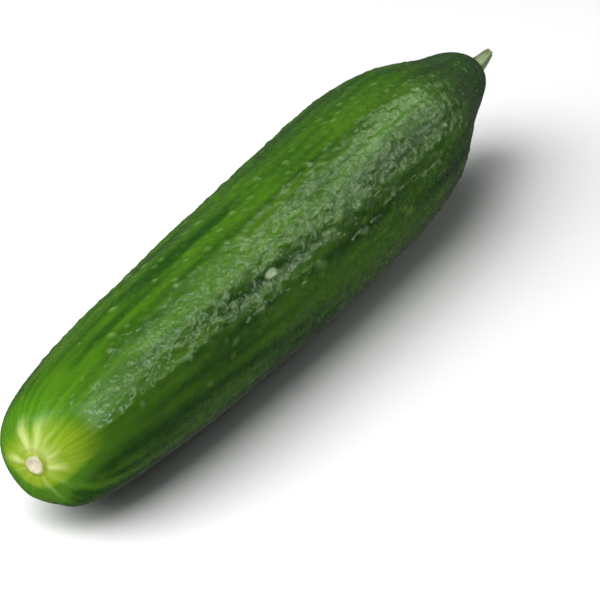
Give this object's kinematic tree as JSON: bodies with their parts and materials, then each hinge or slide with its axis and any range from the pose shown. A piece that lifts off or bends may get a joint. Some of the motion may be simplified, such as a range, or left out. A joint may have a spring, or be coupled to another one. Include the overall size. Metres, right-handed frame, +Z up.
{
  "type": "cucumber",
  "caption": "Whole fresh cucumber lying on its side: green warty ribbed skin, rounded pale blossom end with a scar, tapering stem end with a short cut stalk",
  "frame": {"origin": "centre of the footprint, on the ground under the cucumber", "axes": "+X along the fruit from the blossom end to the stalk, +Y to its left side, +Z up as it lies"},
  "size_m": [0.2446, 0.0426, 0.0418],
  "materials": {
    "skin": "waxy green fruit skin with a soft sheen, paler yellow-green at the blossom end",
    "stalk": "dull pale green fibrous stalk"
  },
  "bodies": {
    "root": {"fruit": "skin", "stalk": "stalk"}
  },
  "joints": []
}
